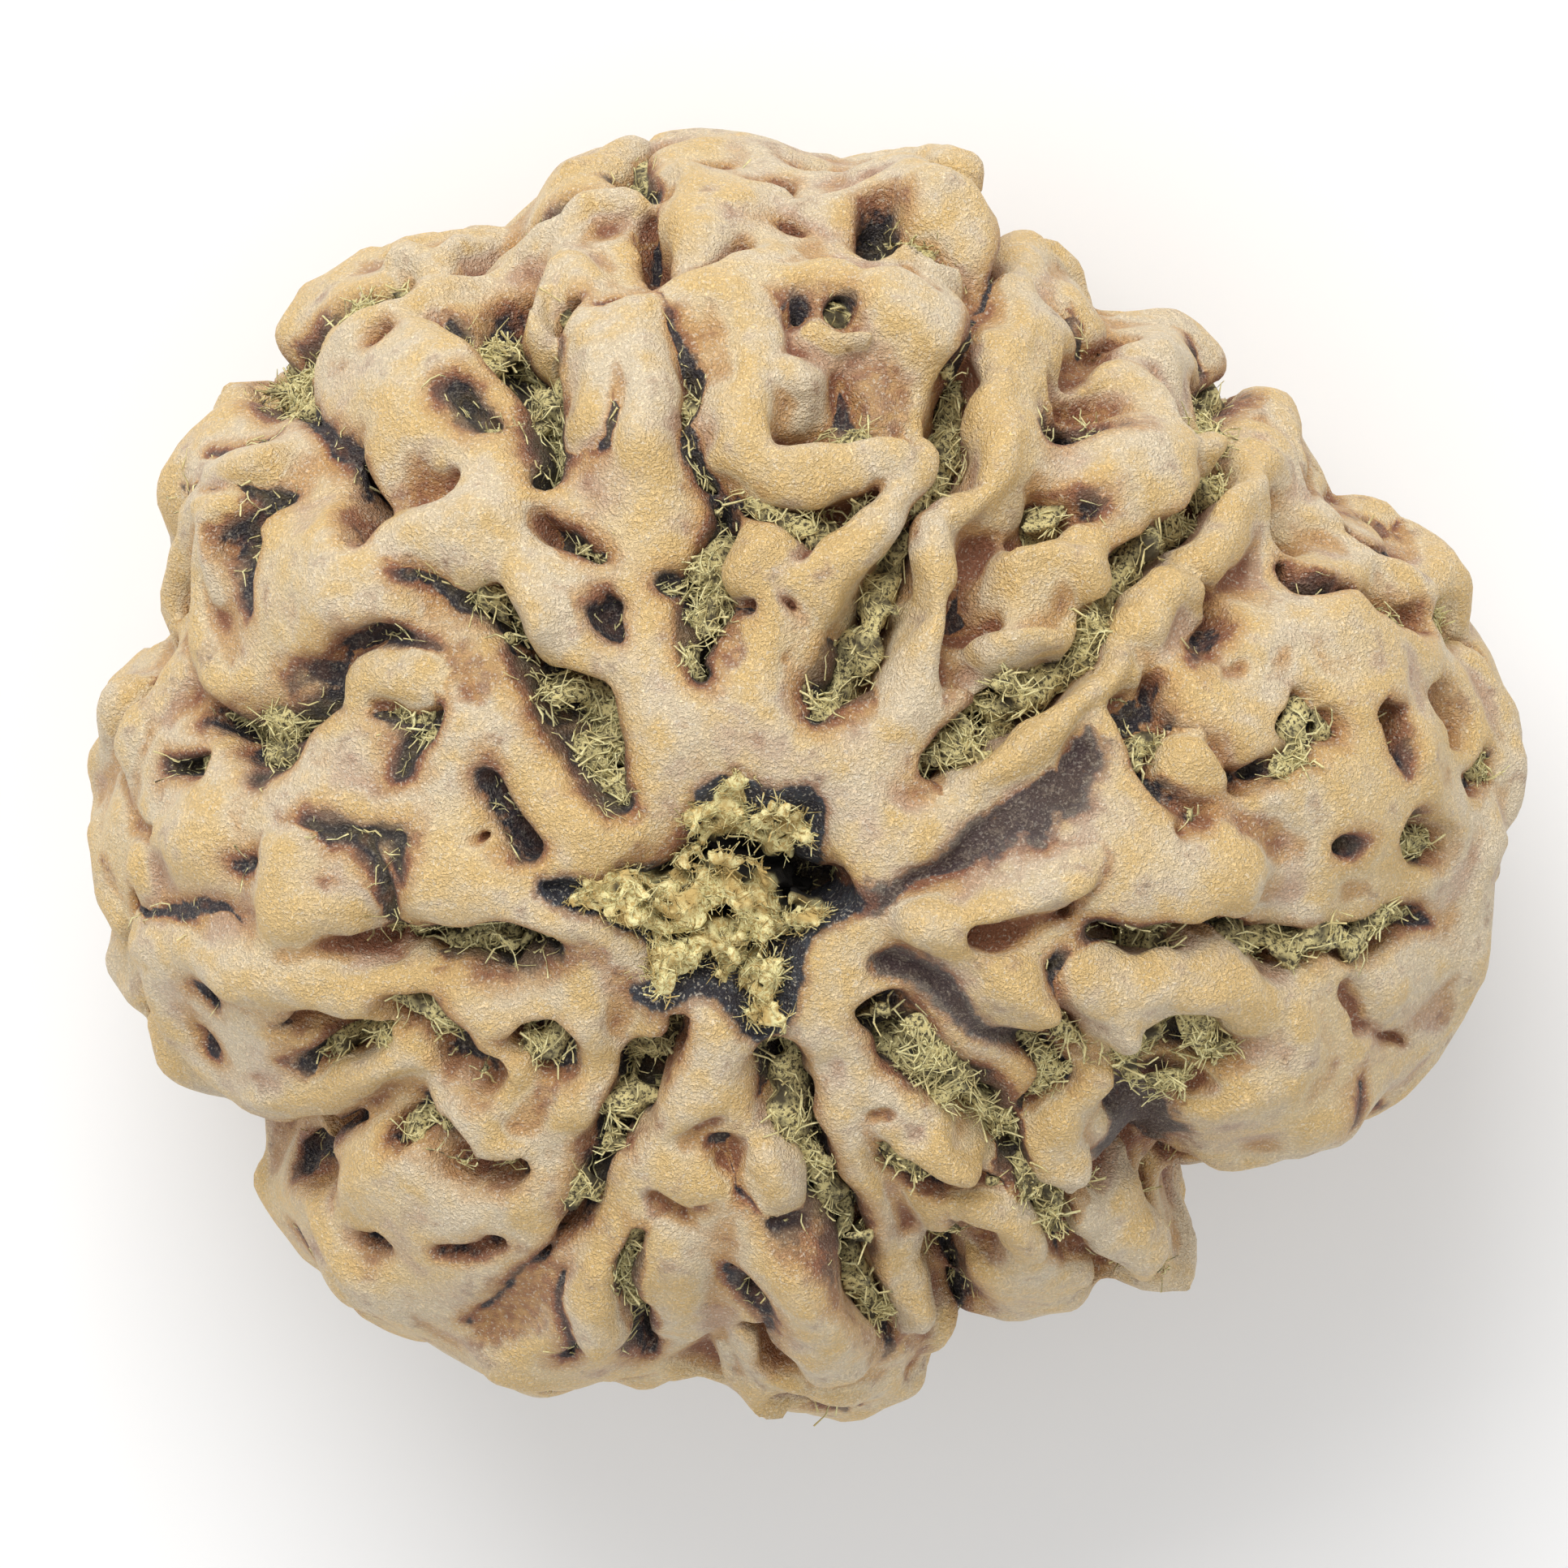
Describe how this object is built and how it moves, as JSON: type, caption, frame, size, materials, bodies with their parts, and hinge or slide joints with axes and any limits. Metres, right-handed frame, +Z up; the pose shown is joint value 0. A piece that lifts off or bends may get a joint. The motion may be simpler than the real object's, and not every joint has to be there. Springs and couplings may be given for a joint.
{
  "type": "rudraksha seed",
  "caption": "Natural rudraksha seed stone, a slightly flattened round woody bead with deep clefts, knobbly ridges, pits and a star-shaped stalk hole.",
  "frame": {"origin": "centre of the bounding box's bottom, which is the plane of the small worn flat the seed lies on", "axes": "+Z up along the seed's own axis, from its far pole to the star at its stalk end; +X along its widest way across"},
  "size_m": [0.0272, 0.0245, 0.0197],
  "materials": {
    "stone": "satin"
  },
  "bodies": {
    "root": {"seed": "stone"}
  },
  "joints": []
}
